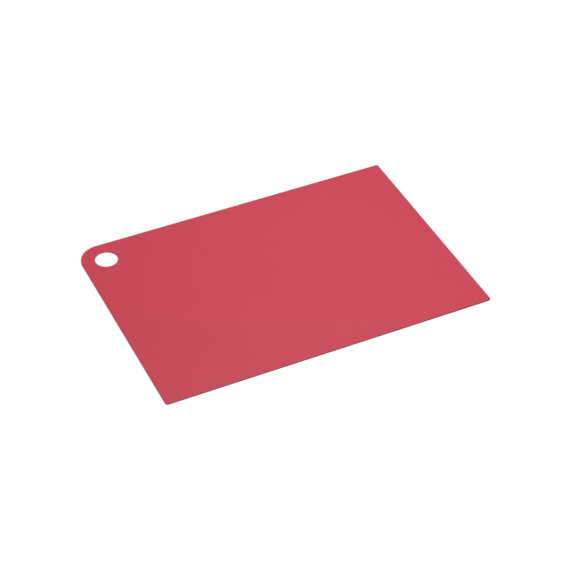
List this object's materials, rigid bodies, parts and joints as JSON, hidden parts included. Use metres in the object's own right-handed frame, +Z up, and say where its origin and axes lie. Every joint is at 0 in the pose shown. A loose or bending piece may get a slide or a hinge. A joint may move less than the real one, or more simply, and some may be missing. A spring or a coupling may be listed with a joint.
{
  "type": "flexible cutting mat",
  "caption": "Thin flexible plastic cutting mat: a flat rectangular sheet with one large rounded corner and a hanging hole beside it.",
  "frame": {"origin": "on the underside, under the middle of the sheet", "axes": "+X along the length, with the hanging hole at the -X end; +Y across the width, with the hanging hole at the +Y side; +Z up out of the cutting face"},
  "size_m": [0.36, 0.25, 0.0015],
  "materials": {
    "mat_plastic": "matte polypropylene with a fine grain, raspberry red right through"
  },
  "bodies": {
    "root": {"cutting_mat": "mat_plastic"}
  },
  "joints": []
}
